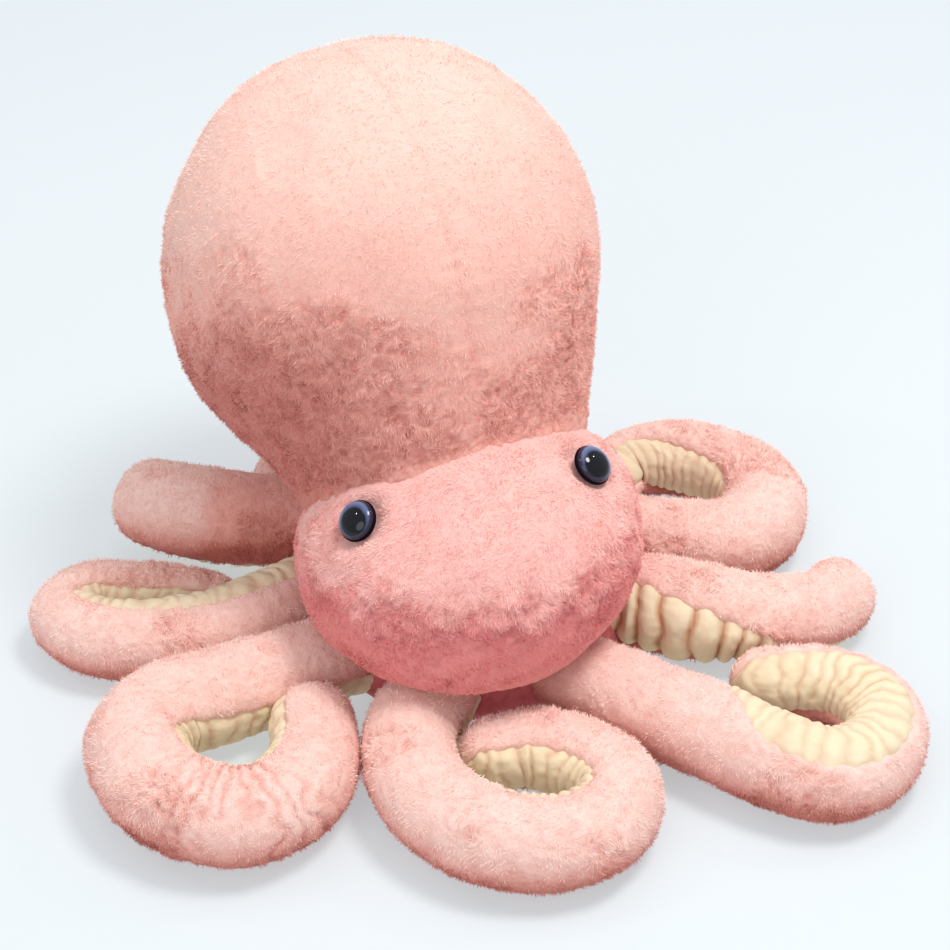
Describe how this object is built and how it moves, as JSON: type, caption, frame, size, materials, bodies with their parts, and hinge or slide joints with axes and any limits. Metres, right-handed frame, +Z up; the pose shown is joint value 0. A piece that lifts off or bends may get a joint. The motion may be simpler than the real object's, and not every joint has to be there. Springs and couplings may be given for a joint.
{
  "type": "plush octopus",
  "caption": "Stuffed plush octopus: balloon mantle nodding on a turning head, flat weighted trunk, and curled arms with gathered cream strips that lift and uncurl.",
  "frame": {"origin": "on the ground, at the middle of the whole figure's outline", "axes": "+Z up; the face looks towards -Y; +X is the viewer's right"},
  "size_m": [0.3595, 0.3037, 0.237],
  "materials": {
    "pink_plush": "short shaggy plush, pink",
    "peach_plush": "short shaggy plush, pale peach pink, darker below",
    "rose_plush": "short shaggy plush, rose pink",
    "cream_strip": "gathered cream velour",
    "base_cloth": "cream velour, flat",
    "stuffing": "loose polyester fibre",
    "pellet_bag": "plain woven bag filled with plastic pellets",
    "eye_clear": "clear, polished",
    "eye_iris": "printed blue-grey iris under the dome",
    "eye_black": "black, glossy",
    "washer": "moulded, natural white"
  },
  "bodies": {
    "trunk": {"base_panel": "base_cloth", "root_band": "pink_plush", "pellet_bag": "pellet_bag", "trunk_stuffing": "stuffing", "sleeve_stuffing": "stuffing", "front_left_sleeve": "pink_plush", "front_sleeve": "pink_plush", "front_right_sleeve": "pink_plush", "right_sleeve": "pink_plush", "left_sleeve": "pink_plush"},
    "head": {"face_panel": "rose_plush", "head_back_panel": "pink_plush", "head_stuffing": "stuffing", "left_eye_dome": "eye_clear", "left_eye_iris": "eye_iris", "left_eye_back": "eye_black", "left_eye_washer": "washer", "right_eye_dome": "eye_clear", "right_eye_iris": "eye_iris", "right_eye_back": "eye_black", "right_eye_washer": "washer"},
    "mantle": {"mantle_left_panel": "peach_plush", "mantle_right_panel": "peach_plush", "mantle_stuffing": "stuffing"},
    "front_left_arm": {"front_left_arm_skin": "pink_plush", "front_left_arm_strip": "cream_strip", "front_left_arm_stuffing": "stuffing"},
    "front_left_tip": {"front_left_tip_skin": "pink_plush", "front_left_tip_strip": "cream_strip", "front_left_tip_stuffing": "stuffing"},
    "front_arm": {"front_arm_skin": "pink_plush", "front_arm_strip": "cream_strip", "front_arm_stuffing": "stuffing"},
    "front_tip": {"front_tip_skin": "pink_plush", "front_tip_strip": "cream_strip", "front_tip_stuffing": "stuffing"},
    "front_right_arm": {"front_right_arm_skin": "pink_plush", "front_right_arm_strip": "cream_strip", "front_right_arm_stuffing": "stuffing"},
    "front_right_tip": {"front_right_tip_skin": "pink_plush", "front_right_tip_strip": "cream_strip", "front_right_tip_stuffing": "stuffing"},
    "right_arm": {"right_arm_skin": "pink_plush", "right_arm_strip": "cream_strip", "right_arm_stuffing": "stuffing"},
    "rear_right_arm": {"rear_right_arm_skin": "pink_plush", "rear_right_arm_strip": "cream_strip", "rear_right_arm_stuffing": "stuffing"},
    "rear_left_arm": {"rear_left_arm_skin": "pink_plush", "rear_left_arm_strip": "cream_strip", "rear_left_arm_stuffing": "stuffing"},
    "left_arm": {"left_arm_skin": "pink_plush", "left_arm_strip": "cream_strip", "left_arm_stuffing": "stuffing"},
    "rear_arm": {"rear_arm_skin": "pink_plush", "rear_arm_strip": "cream_strip", "rear_arm_stuffing": "stuffing"}
  },
  "joints": [
    {"name": "head_turn", "type": "hinge", "parent": "trunk", "child": "head", "pos_m": [0.0023, 0.0169, 0.041], "axis": [0, 0, 1], "range_deg": [-10, 10], "stiffness_Nm_per_rad": 0.6},
    {"name": "neck_nod", "type": "hinge", "parent": "head", "child": "mantle", "pos_m": [0.0043, -0.0131, 0.051], "axis": [1, 0, 0], "range_deg": [-8, 8], "stiffness_Nm_per_rad": 2, "springref_deg": 4.87},
    {"name": "front_left_arm_lift", "type": "hinge", "parent": "trunk", "child": "front_left_arm", "pos_m": [-0.07245, -0.03971, 0.038], "axis": [-0.5069, 0.862, 0], "range_deg": [0, 35]},
    {"name": "front_left_arm_uncurl", "type": "hinge", "parent": "front_left_arm", "child": "front_left_tip", "pos_m": [-0.14659, -0.08379, 0.0208], "axis": [0, 0, -1], "range_deg": [0, 40]},
    {"name": "front_arm_lift", "type": "hinge", "parent": "trunk", "child": "front_arm", "pos_m": [-0.02063, -0.08116, 0.0389], "axis": [-0.9989, 0.0471, 0], "range_deg": [0, 35]},
    {"name": "front_arm_uncurl", "type": "hinge", "parent": "front_arm", "child": "front_tip", "pos_m": [-0.00107, -0.1456, 0.0193], "axis": [0, 0, -1], "range_deg": [0, 35]},
    {"name": "front_right_arm_lift", "type": "hinge", "parent": "trunk", "child": "front_right_arm", "pos_m": [0.06601, -0.05435, 0.03813], "axis": [-0.5327, -0.8463, 0], "range_deg": [0, 35]},
    {"name": "front_right_arm_uncurl", "type": "hinge", "parent": "front_right_arm", "child": "front_right_tip", "pos_m": [0.14124, -0.11448, 0.0183], "axis": [0, 0, -1], "range_deg": [0, 40]},
    {"name": "right_arm_lift", "type": "hinge", "parent": "trunk", "child": "right_arm", "pos_m": [0.07691, 0.0043, 0.03951], "axis": [0, -1, 0], "range_deg": [0, 30]},
    {"name": "rear_right_arm_lift", "type": "hinge", "parent": "trunk", "child": "rear_right_arm", "pos_m": [0.0518, 0.0466, 0.0358], "axis": [0.5101, -0.8601, 0], "range_deg": [0, 30]},
    {"name": "rear_left_arm_lift", "type": "hinge", "parent": "trunk", "child": "rear_left_arm", "pos_m": [-0.0404, 0.0506, 0.0378], "axis": [0.1, 0.995, 0], "range_deg": [0, 25]},
    {"name": "left_arm_lift", "type": "hinge", "parent": "trunk", "child": "left_arm", "pos_m": [-0.0686, 0.00945, 0.03606], "axis": [0, 1, 0], "range_deg": [0, 30]},
    {"name": "rear_arm_lift", "type": "hinge", "parent": "trunk", "child": "rear_arm", "pos_m": [-0.0092, 0.0712, 0.0358], "axis": [0.9798, 0.2, 0], "range_deg": [0, 15]}
  ]
}
